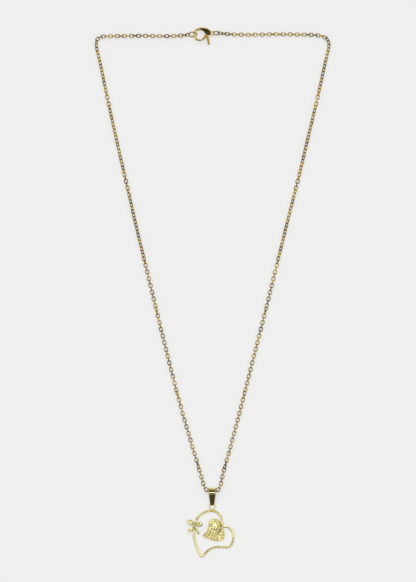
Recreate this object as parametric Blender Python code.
"""Gold pendant necklace, laid flat with its clasp fastened.

+X right, +Y towards the clasp, +Z up; the origin is under the middle of the laid-out necklace.
A cable chain runs from a jump ring in the lobster clasp, down both sides and through a tapered bail
that carries an open-heart pendant. The chain folds at fixed levels, where real links interlock.
"""
import math

import bmesh
import bpy
from mathutils import Matrix, Vector

MM = 0.001

# ---- cable chain
LINK_WIRE = 0.38 * MM          # diameter of the links' wire
LINK_LENGTH = 2.19 * MM        # outside length of one link
LINK_WIDTH = 1.64 * MM         # outside width of one link, and the chain's own thickness
LINK_PLAY = 0.06 * MM          # slack between two interlocked wires
END_GAP = 0.3 * MM             # air between a run of chain and the link next to it
FIRST_FOLD = 76 * MM           # the folds' levels along Y: the first, how far apart, how many
FOLD_STEP = 33 * MM
FOLD_COUNT = 5
BAIL_LINKS = 5                 # links through the bail, the middle one lying flat

# The chain's centre line (x, y, z in mm) between its two end links, which start in the clasp's rings.
ROUTE = [
    (-11.7, 101.15, 1.14), (-15.5, 100.9, 0.85), (-20.7, 100.9, 0.83),
    (-26.6, 101.0, 0.83), (-32.5, 101.0, 0.83), (-37.8, 100.9, 0.83), (-41.9, 100.8, 0.83),
    (-44.1, 100.6, 0.83), (-45.2, 100.1, 0.83), (-45.7, 99.0, 0.83), (-45.7, 97.5, 0.83),
    (-45.5, 95.7, 0.83), (-44.9, 93.3, 0.83), (-44.1, 89.8, 0.83), (-42.9, 84.1, 0.83),
    (-40.6, 73.1, 0.83), (-38.2, 62.1, 0.83), (-35.7, 51.1, 0.83), (-33.2, 40.1, 0.83),
    (-30.7, 29.1, 0.83), (-28.1, 18.1, 0.83), (-25.4, 7.1, 0.83), (-22.8, -3.9, 0.83),
    (-20.1, -14.9, 0.83), (-17.4, -25.9, 0.83), (-14.6, -36.9, 0.83), (-11.6, -47.9, 0.83),
    (-8.4, -58.9, 0.83), (-5.3, -69.2, 0.95), (-4.0, -73.8, 1.25), (-3.3, -76.1, 1.50),
    (-2.1, -77.7, 1.55), (-0.2, -78.2, 1.55), (1.7, -77.7, 1.55), (2.9, -76.1, 1.50),
    (3.4, -73.9, 1.25), (4.5, -69.2, 0.95), (7.4, -58.9, 0.83), (10.3, -47.9, 0.83),
    (13.1, -36.9, 0.83), (15.9, -25.9, 0.83), (18.7, -14.9, 0.83), (21.5, -3.9, 0.83),
    (24.2, 7.1, 0.83), (26.9, 18.1, 0.83), (29.6, 29.1, 0.83), (32.4, 40.1, 0.83),
    (35.1, 51.1, 0.83), (37.7, 62.1, 0.83), (40.3, 73.1, 0.83), (42.8, 84.1, 0.83),
    (44.1, 90.2, 0.83), (44.8, 93.1, 0.83), (45.4, 95.5, 0.83), (45.7, 97.3, 0.83),
    (45.5, 98.8, 0.83), (44.8, 100.0, 0.83), (43.5, 100.7, 0.83), (41.4, 101.2, 0.83),
    (37.8, 101.4, 0.83), (33.1, 101.5, 0.83), (28.4, 101.6, 0.83), (23.7, 101.6, 0.83),
    (19.0, 101.5, 0.83), (14.3, 101.4, 0.83), (9.5, 101.5, 0.83), (6.0, 101.7, 1.00),
]

# ---- jump rings at the clasp
END_RING_RADIUS = 1.65 * MM    # to the middle of the wire
END_RING_WIRE = 0.5 * MM
END_RING_LEAN = 62.0           # degrees up from lying flat, about X
END_RING_GAP = 0.4 * MM        # air between its wire and the inner side of the hook's bar
TAIL_RING_RADIUS = 1.22 * MM
TAIL_RING_WIRE = 0.45 * MM
TAIL_RING_LEAN = 62.0
TAIL_RING_GAP = 0.06 * MM      # air between its wire and the clasp's tail eye
REST_GAP = 0.015 * MM          # air under a ring's lowest point

# ---- lobster clasp
CLASP_HEIGHT = 1.3 * MM        # its middle plane above the surface
HOOK_CENTRE = Vector((-5.1, 101.45)) * MM
HOOK_RADIUS = 2.2 * MM         # to the middle of the hook's bar
HOOK_BAR = 0.9 * MM
HOOK_ANGLES = (70.0, 300.0)    # degrees, from inside the housing round to the tip
HOUSING_THICKNESS = 2.5 * MM
SLOT_THICKNESS = 1.2 * MM
LEVER_BOTTOM = -0.5 * MM       # the lever's faces, counted from the clasp's middle plane
LEVER_TOP = 0.1 * MM
PIVOT = Vector((-1.85, 102.2)) * MM
PIN_RADIUS = 0.17 * MM
PIN_FIT = 0.03 * MM            # clearance round the pin
EYE_RADIUS = 0.75 * MM         # the clasp's own tail eye, to the middle of its wire
EYE_WIRE = 0.45 * MM
EYE_CENTRE = Vector((-0.1, 102.0)) * MM
SPRING_RADIUS = 0.33 * MM
SPRING_WIRE = 0.16 * MM
SPRING_PITCH = 0.2 * MM

HOUSING_OUTLINE = [(-4.9, 104.1), (-3.6, 104.15), (-2.3, 103.9), (-1.2, 103.3), (-0.62, 102.6),
                   (-0.6, 101.8), (-0.95, 101.25), (-1.7, 101.2), (-2.6, 101.6), (-3.4, 102.4),
                   (-4.1, 103.0), (-4.9, 103.15)]
LEVER_OUTLINE = [(-1.4, 102.0), (-1.42, 102.45), (-1.85, 102.7), (-2.3, 102.5), (-2.7, 101.9),
                 (-3.3, 101.0), (-3.6, 100.4), (-4.0, 99.95), (-3.6, 99.4), (-3.05, 99.9),
                 (-2.65, 100.2), (-2.2, 99.0), (-1.95, 97.7), (-1.6, 97.4), (-1.2, 97.7),
                 (-1.35, 99.2), (-1.62, 100.8), (-1.5, 101.6)]
SLOT_OUTLINE = [(-1.2, 102.9), (-1.2, 102.0), (-0.85, 101.3), (-0.6, 100.2), (-4.4, 100.2),
                (-4.4, 102.6), (-3.2, 102.9)]

# ---- bail
BAIL_TOP_CENTRE = Vector((-0.2, -77.9)) * MM   # the middle of the loop that the chain runs through
BAIL_TOP_ROOM = 0.24 * MM      # air inside it round two links that overlap
BAIL_TOP_WALL = 0.3 * MM
BAIL_FOOT_ROOM = 0.18 * MM     # air round the pendant's eye, inside the fold that holds it
BAIL_WALL = 0.25 * MM          # at that fold
BAIL_DROP = 5.05 * MM          # from the upper loop's middle to the lower fold's
BAIL_TOP_WIDTH = 3.5 * MM
BAIL_FOOT_WIDTH = 1.5 * MM

# ---- pendant
LOOP_WIRE = 0.5 * MM           # of the pendant's own eye
LOOP_ROOM = 0.27 * MM          # air in the eye at each edge of the bail's foot
LOOP_LIFT = 0.1 * MM           # the middle of its wire above the middle of the foot's fold
LOOP_HALF_LENGTH = 1.0 * MM    # the oval eye's half size along Y, to the middle of its wire
SOLDER_GAP = 0.06 * MM         # air between two pieces that are soldered together
HEART_STRIP = 0.95 * MM        # width of the strip that draws the heart
HEART_THICKNESS = 1.0 * MM
HEART_SCALE = 1.0              # of the outlines below, which are in mm from the top of the heart
# The strip's centre line: down the long left side from the cleft over the top, then the right lobe.
LONG_SIDE = [(4.3, -6.1), (3.9, -4.6), (3.4, -2.3), (2.0, -0.6), (0.0, 0.0), (-2.3, -0.3), (-4.6, -1.6),
             (-6.4, -3.9), (-7.2, -7.0), (-7.1, -10.4), (-6.2, -13.7), (-4.9, -16.8), (-4.2, -18.0)]
LOBE_SIDE = [(-4.2, -18.0), (-3.3, -17.3), (-1.2, -15.3), (1.6, -14.2), (4.3, -14.3), (6.6, -14.2),
             (7.9, -12.6), (8.4, -10.1), (7.7, -7.7), (6.0, -6.2), (4.3, -6.1)]
BUTTERFLY_THICKNESS = 0.7 * MM
BUTTERFLY_PLACE = (-6.9, -5.9)
# Each wing: middle, half length, half width (mm from the butterfly's place) and its slant in degrees.
WINGS = [((-1.6, 1.6), 1.4, 1.0, -45.0), ((1.75, 0.8), 1.45, 0.95, 8.0),
         ((-1.4, -1.2), 1.4, 0.85, 38.0), ((1.1, -2.0), 1.4, 0.48, -55.0)]
BUTTERFLY_BODY = (0.6, 2.1, -12.0)     # half width, half length and slant of its body
FIGURE_THICKNESS = 1.3 * MM
MOTHER_OUTLINE = [(0.6, -2.95), (-0.8, -3.6), (-1.5, -4.8), (-1.8, -6.8), (-2.6, -8.4), (-3.9, -9.7),
                  (-2.9, -10.6), (-0.6, -11.5), (1.75, -12.0), (1.85, -9.6), (3.2, -7.6), (3.75, -6.3),
                  (3.3, -4.6), (2.1, -3.3)]
CHILD_OUTLINE = [(1.95, -11.9), (4.0, -11.7), (4.9, -10.4), (4.95, -8.6), (4.45, -7.1), (3.75, -7.0),
                 (2.35, -9.1), (2.0, -10.2)]
MOTHER_FACE = ((1.0, -6.1), 1.35, 1.75, 2.3)   # middle, half width, half height, height of its front
CHILD_FACE = ((3.5, -9.5), 0.85, 1.1, 2.0)

# ---- sizes that follow from what passes through what
BAIL_TOP_BORE = LINK_WIDTH / 2 + LINK_WIRE / 2 + BAIL_TOP_ROOM
BAIL_TOP_RADIUS = BAIL_TOP_BORE + BAIL_TOP_WALL        # also the loop's height above the surface
BAIL_FOOT_BORE = LOOP_WIRE / 2 + BAIL_FOOT_ROOM
LOOP_HALF_WIDTH = BAIL_FOOT_WIDTH / 2 + LOOP_ROOM + LOOP_WIRE / 2  # to the middle of the eye's wire

GOLD = (0.83, 0.68, 0.35, 1.0)
PALE_GOLD = (0.80, 0.74, 0.45, 1.0)
DEEP_GOLD = (0.72, 0.55, 0.22, 1.0)
STEEL = (0.55, 0.55, 0.56, 1.0)
ROUND_SIDES = 24


# ---------------------------------------------------------------- objects and materials
def new_collection(name):
    collection = bpy.data.collections.new(name)
    bpy.context.scene.collection.children.link(collection)
    return collection


def material(name, colour, roughness):
    found = bpy.data.materials.get(name) or bpy.data.materials.new(name)
    found.use_nodes = True
    shader = found.node_tree.nodes["Principled BSDF"]
    shader.inputs["Base Color"].default_value = colour
    shader.inputs["Metallic"].default_value = 1.0
    shader.inputs["Roughness"].default_value = roughness
    found.diffuse_color = colour
    return found


def add(name, data, collection, look=None):
    obj = bpy.data.objects.new(name, data)
    collection.objects.link(obj)
    if look:
        data.materials.append(look)
    return obj


def poly_curve(name, lines, closed):
    """A curve data block with one POLY spline for each list of points."""
    curve = bpy.data.curves.new(name, "CURVE")
    for points in lines:
        spline = curve.splines.new("POLY")
        spline.points.add(len(points) - 1)
        for place, point in zip(spline.points, points):
            place.co = (*Vector(point).to_3d(), 1.0)
        spline.use_cyclic_u = closed
    return curve


def wire(name, points, radius, collection, look, closed=False, fineness=2):
    """Round wire along the points, with its ends filled."""
    curve = poly_curve(name, [points], closed)
    curve.dimensions = "3D"
    curve.bevel_depth = radius
    curve.bevel_resolution = fineness
    curve.use_fill_caps = not closed
    return add(name, curve, collection, look)


def plate(name, outlines, bottom, top, collection, look=None):
    """A flat plate between two heights; a second outline inside the first is a hole."""
    curve = poly_curve(name, outlines, True)
    curve.dimensions = "2D"
    curve.fill_mode = "BOTH"
    curve.extrude = (top - bottom) / 2
    obj = add(name, curve, collection, look)
    obj.location.z = (top + bottom) / 2
    return obj


def as_mesh(obj, bevel=0.0):
    """The same solid as a welded mesh with its place in its points, and its edges rounded if asked."""
    bpy.context.view_layer.update()
    graph = bpy.context.evaluated_depsgraph_get()
    mesh = bpy.data.meshes.new_from_object(obj.evaluated_get(graph))
    mesh.transform(obj.matrix_world)
    shape = bmesh.new()
    shape.from_mesh(mesh)
    bmesh.ops.remove_doubles(shape, verts=shape.verts, dist=1e-7)
    if bevel:
        edges = [e for e in shape.edges if e.is_manifold and e.calc_face_angle() > math.radians(60)
                 and abs((e.verts[0].co - e.verts[1].co).normalized().z) < 0.5
                 and e.verts[0].co.z > min(v.co.z for v in shape.verts) + bevel]
        bmesh.ops.bevel(shape, geom=edges, offset=bevel, segments=1, affect="EDGES")
    bmesh.ops.recalc_face_normals(shape, faces=shape.faces)
    shape.to_mesh(mesh)
    shape.free()
    name, collection = obj.name, obj.users_collection[0]
    old = obj.data
    bpy.data.objects.remove(obj)
    bpy.data.curves.remove(old)
    return add(name, mesh, collection)


def boolean(obj, tool, operation):
    """Join the tool to the object, or cut it away, and leave the tool out of the model."""
    change = obj.modifiers.new(operation.lower(), "BOOLEAN")
    change.operation = operation
    change.solver = "EXACT"
    change.object = tool
    tool.hide_render = True
    tool.display_type = "WIRE"


def cylinder(name, centre, radius, bottom, top, collection, look=None, sides=12):
    bpy.ops.mesh.primitive_cylinder_add(vertices=sides, radius=radius, depth=top - bottom,
                                        location=(centre[0], centre[1], (top + bottom) / 2))
    return take(name, collection, look)


def ball(name, centre, size, collection, segments=12, rings=8):
    """A ball scaled to three half sizes."""
    bpy.ops.mesh.primitive_uv_sphere_add(segments=segments, ring_count=rings, radius=1.0, location=centre)
    obj = take(name, collection)
    obj.data.transform(Matrix.Diagonal((*size, 1.0)))
    return obj


def take(name, collection, look=None):
    """Name the newest primitive and move it to its collection."""
    obj = bpy.context.object
    obj.name = name
    for other in list(obj.users_collection):
        other.objects.unlink(obj)
    collection.objects.link(obj)
    if look:
        obj.data.materials.append(look)
    return obj


# ---------------------------------------------------------------- lines
def smooth_line(points, steps):
    """A smooth line through the points (Catmull-Rom), with this many steps between two of them."""
    points = [Vector(p) for p in points]
    padded = [2 * points[0] - points[1], *points, 2 * points[-1] - points[-2]]
    line = []
    for a, b, c, d in zip(padded, padded[1:], padded[2:], padded[3:]):
        for i in range(steps):
            t = i / steps
            line.append(0.5 * (2 * b + (c - a) * t + (2 * a - 5 * b + 4 * c - d) * t**2
                               + (3 * b - a - 3 * c + d) * t**3))
    return [*line, points[-1]]


def smooth_ring(points, steps):
    """A smooth closed line through the points."""
    wrapped = [points[-1], *points, points[0], points[1]]
    line = smooth_line(wrapped, steps)
    return line[steps:-2 * steps]


def scaled(points, place=(0.0, 0.0), factor=1.0):
    return [(Vector(p) * factor + Vector(place)) * MM for p in points]


def lengths_along(line):
    """The distance from the line's start to each of its points."""
    total = [0.0]
    for a, b in zip(line, line[1:]):
        total.append(total[-1] + (b - a).length)
    return total


def point_at(line, lengths, distance):
    i = next((k for k, s in enumerate(lengths[1:]) if s >= distance), len(line) - 2)
    share = (distance - lengths[i]) / (lengths[i + 1] - lengths[i])
    return line[i].lerp(line[i + 1], share)


def stretch(line, lengths, start, end):
    """The line between two distances, with points only where it bends or every 5 mm."""
    inner = [p for p, s in zip(line, lengths) if start + 0.4 * MM < s < end - 0.4 * MM]
    kept = [point_at(line, lengths, start)]
    for here, after in zip(inner, inner[1:] + [point_at(line, lengths, end)]):
        ahead, back = after - here, here - kept[-1]
        if back.length > 0.6 * MM and (back.length > 5 * MM or ahead.angle(back) > math.radians(7)):
            kept.append(here)
    return [*kept, point_at(line, lengths, end)]


def widened(line, half, side):
    """A closed line moved sideways by half a width, without the points that fold over inside its corners."""
    moved = []
    for before, here, after in zip([line[-1], *line], line, [*line[1:], line[0]]):
        one, two = (here - before).normalized(), (after - here).normalized()
        normal = (Vector((-one.y, one.x)) + Vector((-two.y, two.x))).normalized()
        moved.append(here + normal * side * half / max(0.5, normal.dot(Vector((-two.y, two.x)))))
    least = 0.9 * half
    return [point for point in moved if all((point - other).length > least for other in line)]


def arc(centre, radius, first, last, steps):
    """Points on a circle between two angles in degrees."""
    angles = [math.radians(first + (last - first) * i / steps) for i in range(steps + 1)]
    return [Vector((centre[0] + radius * math.cos(a), centre[1] + radius * math.sin(a))) for a in angles]


# ---------------------------------------------------------------- chain
LINK_BEND = (LINK_WIDTH - LINK_WIRE) / 2       # radius of a link's round ends, to the middle of its wire
LINK_REACH = LINK_LENGTH - LINK_WIRE           # from the middle of one end's wire to the other's
HOOKED = LINK_WIRE + LINK_PLAY                 # between the middles of two interlocked wires
LINK_PITCH = LINK_REACH - HOOKED               # from one link to the next
LINK_SETBACK = LINK_WIRE / 2 + END_GAP         # from a link's end wire to the run of chain after it


def link(name, start, direction, across, collection, look):
    """One link: its first end's wire is at start, it lies along direction, and across is its width."""
    along = direction.normalized()
    across = (across - across.dot(along) * along).normalized()
    points = []
    for centre, turn in ((start + along * LINK_BEND, -1), (start + along * (LINK_REACH - LINK_BEND), 1)):
        for i in range(6):
            angle = math.radians(36 * i - 90)
            points.append(centre + turn * (along * math.cos(angle) + across * math.sin(angle)) * LINK_BEND)
    return wire(name, points, LINK_WIRE / 2, collection, look, closed=True, fineness=1)


def fold_distances(line, lengths):
    """Where the chain crosses each fold's level: the left side top down, then the right side top down."""
    levels = [FIRST_FOLD - i * FOLD_STEP for i in range(FOLD_COUNT)]
    left, right = [], []
    for level in levels:
        crossings = [s + (level - a.y) / (b.y - a.y) * (b - a).length
                     for a, b, s in zip(line, line[1:], lengths) if (a.y - level) * (b.y - level) < 0]
        left.append(crossings[0])
        right.append(crossings[-1])
    return left, right


def side_of_chain(side, line, folds, collection, look):
    """One side of the loop down to the bail: an end link, runs of chain, and two links at each fold."""
    lengths = lengths_along(line)
    up = Vector((0, 0, 1))
    lean = math.radians(END_RING_LEAN if side == "left" else TAIL_RING_LEAN)
    link(f"chain_{side}_end_link", line[0], point_at(line, lengths, LINK_REACH) - line[0],
         Vector((0, -math.sin(lean), math.cos(lean))), collection, look)
    start = LINK_REACH + LINK_SETBACK
    for number, fold in enumerate(folds, 1):
        run = stretch(line, lengths, start, fold - LINK_REACH - LINK_SETBACK)
        wire(f"chain_{side}_{number}", run, LINK_WIDTH / 2, collection, look)
        here = point_at(line, lengths, fold)
        tangent = (point_at(line, lengths, fold + LINK_REACH) - here).normalized()
        link(f"fold_{number}_{side}_upper_link", here, -tangent, up.cross(tangent), collection, look)
        link(f"fold_{number}_{side}_lower_link", here - tangent * HOOKED, tangent, up, collection, look)
        start = fold - HOOKED + LINK_REACH + LINK_SETBACK
    half = (LINK_REACH + (BAIL_LINKS - 1) * LINK_PITCH) / 2
    run = stretch(line, lengths, start, bottom_distance(line, lengths) - half - LINK_SETBACK)
    wire(f"chain_{side}_{len(folds) + 1}", run, LINK_WIDTH / 2, collection, look)


def bottom_distance(line, lengths):
    """The distance along the chain to its lowest point, in the bail."""
    return min(zip(line, lengths), key=lambda pair: pair[0].y)[1]


def ring_height(radius, wire_size, lean):
    """The height of a leaning ring's middle when its lowest point rests on the surface."""
    return radius * math.sin(math.radians(lean)) + wire_size / 2 + REST_GAP


def end_ring_centre():
    """The left ring goes round the hook's bar where the hook is widest."""
    inside = HOOK_CENTRE.x - HOOK_RADIUS + HOOK_BAR / 2
    return Vector((inside + END_RING_GAP + END_RING_WIRE / 2 - END_RING_RADIUS, HOOK_CENTRE.y,
                   ring_height(END_RING_RADIUS, END_RING_WIRE, END_RING_LEAN)))


def tail_ring_centre():
    """The right ring goes through the clasp's tail eye."""
    inside = EYE_CENTRE.x + EYE_RADIUS - EYE_WIRE / 2
    return Vector((inside - TAIL_RING_GAP - TAIL_RING_WIRE / 2 + TAIL_RING_RADIUS, EYE_CENTRE.y,
                   ring_height(TAIL_RING_RADIUS, TAIL_RING_WIRE, TAIL_RING_LEAN)))


def chain_line():
    """The whole chain's centre line, from inside the left ring round to inside the right ring."""
    first, last = end_ring_centre(), tail_ring_centre()
    first.x -= END_RING_RADIUS - END_RING_WIRE / 2 - LINK_WIRE / 2 - LINK_PLAY
    last.x += TAIL_RING_RADIUS - TAIL_RING_WIRE / 2 - LINK_WIRE / 2 - LINK_PLAY
    return smooth_line([first, *(Vector(p) * MM for p in ROUTE), last], 6)


def make_chain(collection, look):
    line = chain_line()
    lengths = lengths_along(line)
    left, right = fold_distances(line, lengths)
    side_of_chain("left", line, left, collection, look)
    side_of_chain("right", line[::-1], [lengths[-1] - s for s in right], collection, look)

    start = bottom_distance(line, lengths) - (LINK_REACH + (BAIL_LINKS - 1) * LINK_PITCH) / 2
    for number in range(BAIL_LINKS):
        here = point_at(line, lengths, start + number * LINK_PITCH)
        tangent = point_at(line, lengths, start + number * LINK_PITCH + LINK_REACH) - here
        up = Vector((0, 0, 1))
        across = up if number % 2 else up.cross(tangent)
        link(f"bail_link_{number + 1}", here, tangent, across, collection, look)


# ---------------------------------------------------------------- clasp
def ring(name, centre, radius, wire_size, lean, collection, look, half_length=None):
    """A ring tipped about X by an angle in degrees; half_length makes it oval."""
    oval = Matrix.Diagonal((1.0, (half_length or radius) / radius, 1.0))
    tip = Matrix.Rotation(math.radians(lean), 3, "X") @ oval
    points = [centre + tip @ p.to_3d() for p in arc((0, 0), radius, 0, 360, ROUND_SIDES)[:-1]]
    return wire(name, points, wire_size / 2, collection, look, closed=True, fineness=2)


def make_clasp(collection, cutters, gold, steel):
    middle, half = CLASP_HEIGHT, HOUSING_THICKNESS / 2
    housing = plate("clasp_body", [smooth_ring(scaled(HOUSING_OUTLINE), 2)], middle - half, middle + half,
                    collection)
    housing = as_mesh(housing, bevel=0.25 * MM)
    hook_line = [p.to_3d() + Vector((0, 0, middle)) for p in arc(HOOK_CENTRE, HOOK_RADIUS, *HOOK_ANGLES, 20)]
    hook = as_mesh(wire("hook_bar", hook_line, HOOK_BAR / 2, cutters, None))
    eye_line = [p.to_3d() + Vector((0, 0, middle)) for p in arc(EYE_CENTRE, EYE_RADIUS, 0, 360, 16)[:-1]]
    eye = as_mesh(wire("tail_eye", eye_line, EYE_WIRE / 2, cutters, None, closed=True))
    slot = as_mesh(plate("lever_slot", [scaled(SLOT_OUTLINE)], middle - SLOT_THICKNESS / 2,
                         middle + SLOT_THICKNESS / 2, cutters))
    pin_hole = cylinder("pin_hole", PIVOT, PIN_RADIUS + PIN_FIT, middle - 2 * half, middle + 2 * half,
                        cutters)
    for tool, operation in ((hook, "UNION"), (eye, "UNION"), (slot, "DIFFERENCE"), (pin_hole, "DIFFERENCE")):
        boolean(housing, tool, operation)
    housing.data.materials.append(gold)

    lever = as_mesh(plate("clasp_lever", [scaled(LEVER_OUTLINE)], middle + LEVER_BOTTOM, middle + LEVER_TOP,
                          collection))
    lever_hole = cylinder("lever_hole", PIVOT, PIN_RADIUS + PIN_FIT, middle - half, middle + half, cutters)
    boolean(lever, lever_hole, "DIFFERENCE")
    lever.data.materials.append(gold)
    cylinder("clasp_pin", PIVOT, PIN_RADIUS, middle - half + 0.05 * MM, middle + half - 0.05 * MM,
             collection, steel)

    turns = 1.1
    foot = middle + LEVER_TOP + SPRING_WIRE / 2 + 0.06 * MM
    coil = []
    for i in range(17):
        angle = math.radians(200 + 360 * turns * i / 16)
        around = Vector((math.cos(angle), math.sin(angle))) * SPRING_RADIUS
        coil.append(Vector((*(PIVOT + around), foot + SPRING_PITCH * turns * i / 16)))
    wire("clasp_spring", coil, SPRING_WIRE / 2, collection, steel, fineness=1)


def make_rings(collection, look):
    ring("end_ring", end_ring_centre(), END_RING_RADIUS, END_RING_WIRE, END_RING_LEAN, collection, look)
    ring("tail_ring", tail_ring_centre(), TAIL_RING_RADIUS, TAIL_RING_WIRE, TAIL_RING_LEAN, collection, look)


# ---------------------------------------------------------------- bail and pendant
def belt(top_radius, foot_radius, drop):
    """The outline of a belt round two circles, the first at the origin and the second at -drop."""
    lean = math.degrees(math.acos((top_radius - foot_radius) / drop))
    upper = arc((0, 0), top_radius, -180 + lean, 180 - lean, 16)
    lower = arc((-drop, 0), foot_radius, 180 - lean, 180 + lean, 8)
    return [*upper, *lower]


def make_bail(collection, look):
    """A strap folded into a drop, wide and round at the chain and narrow at the pendant's eye."""
    foot_radius = BAIL_FOOT_BORE + BAIL_WALL
    outer = belt(BAIL_TOP_RADIUS, foot_radius, BAIL_DROP)
    inner = belt(BAIL_TOP_BORE, BAIL_FOOT_BORE, BAIL_DROP)
    strap = plate("bail", [outer, inner], -0.5, 0.5, collection)
    bail = as_mesh(strap)
    low, high = -BAIL_DROP - foot_radius, BAIL_TOP_RADIUS
    tilt = math.asin((BAIL_TOP_RADIUS - foot_radius) / BAIL_DROP)
    lie_flat = Matrix.Rotation(tilt, 4, "X")
    for vertex in bail.data.vertices:
        along, depth, side = vertex.co
        share = min(1.0, max(0.0, (along - low) / (high - low)))
        width = BAIL_FOOT_WIDTH + (BAIL_TOP_WIDTH - BAIL_FOOT_WIDTH) * share
        vertex.co = lie_flat @ Vector((side * width, along, depth))
    bail.data.update()
    bail.data.materials.append(look)
    bail.location = (BAIL_TOP_CENTRE.x, BAIL_TOP_CENTRE.y, BAIL_TOP_RADIUS)
    return math.cos(tilt) * BAIL_DROP


def make_pendant(collection, cutters, foot_distance, gold, pale):
    loop_height = BAIL_FOOT_BORE + BAIL_WALL
    hang = Vector((BAIL_TOP_CENTRE.x, BAIL_TOP_CENTRE.y - foot_distance))
    loop_centre = Vector((hang.x, hang.y + LOOP_LIFT - LOOP_HALF_LENGTH, loop_height))
    ring("pendant_loop", loop_centre, LOOP_HALF_WIDTH, LOOP_WIRE, 0.0, collection, gold, LOOP_HALF_LENGTH)
    top = loop_centre.to_2d()
    top.y -= LOOP_HALF_LENGTH + LOOP_WIRE / 2 + SOLDER_GAP + HEART_STRIP / 2
    place, size = top / MM, HEART_SCALE

    side = smooth_line(scaled(LONG_SIDE, place, size), 3)[:-1]
    lobe = smooth_line(scaled(LOBE_SIDE, place, size), 3)[:-1]
    line = side + lobe
    outlines = [widened(line, HEART_STRIP / 2, sign) for sign in (-1, 1)]
    as_mesh(plate("heart_frame", outlines, 0.0, HEART_THICKNESS, collection)).data.materials.append(pale)
    make_butterfly(place + Vector(BUTTERFLY_PLACE) * size, size, collection, cutters, pale)
    make_figure("mother_figure", MOTHER_OUTLINE, MOTHER_FACE, place, size, collection, cutters, pale)
    make_figure("child_figure", CHILD_OUTLINE, CHILD_FACE, place, size, collection, cutters, pale)


def make_butterfly(place, size, collection, cutters, look):
    bottom = HEART_THICKNESS + SOLDER_GAP
    half = BUTTERFLY_THICKNESS / 2
    half_width, half_length, slant = BUTTERFLY_BODY
    body = ball("butterfly", (0, 0, 0), (half_width * MM, half_length * MM, half), collection, 10, 6)
    body.data.transform(Matrix.Rotation(math.radians(-slant), 4, "Z"))
    body.data.transform(Matrix.Scale(size, 4))
    body.location = (*(place * MM), bottom + half * size)
    for number, (middle, long, wide, angle) in enumerate(WINGS, 1):
        centre = (place + Vector(middle) * size) * MM
        wing = cylinder(f"wing_{number}", centre, 1.0, bottom, bottom + 1.6 * half, cutters)
        shape = Matrix.Diagonal((long * size * MM, wide * size * MM, 1.0, 1.0))
        wing.data.transform(Matrix.Rotation(math.radians(angle), 4, "Z") @ shape)
        boolean(body, wing, "UNION")
    body.data.materials.append(look)


def make_figure(name, outline, face, place, size, collection, cutters, look):
    """A flat-backed relief: a draped plate with a plain round head raised on it."""
    (x, y), half_width, half_height, front = face
    figure = as_mesh(plate(name, [smooth_ring(scaled(outline, place, size), 2)], 0.0, FIGURE_THICKNESS,
                           collection), bevel=0.3 * MM)
    centre = (place + Vector((x, y)) * size) * MM
    rise = front * MM - FIGURE_THICKNESS
    head = ball(f"{name}_head", (*centre, FIGURE_THICKNESS - 0.1 * MM),
                (half_width * size * MM, half_height * size * MM, rise + 0.1 * MM), cutters)
    boolean(figure, head, "UNION")
    figure.data.materials.append(look)


def build():
    for obj in list(bpy.data.objects):
        bpy.data.objects.remove(obj, do_unlink=True)
    necklace = new_collection("pendant_necklace")
    cutters = new_collection("cutters")
    gold = material("polished gold", GOLD, 0.15)
    chain_gold = material("chain gold", DEEP_GOLD, 0.2)
    pale = material("satin gold", PALE_GOLD, 0.4)
    steel = material("spring steel", STEEL, 0.3)
    make_chain(necklace, chain_gold)
    make_rings(necklace, gold)
    make_clasp(necklace, cutters, gold, steel)
    foot_distance = make_bail(necklace, gold)
    make_pendant(necklace, cutters, foot_distance, gold, pale)


build()
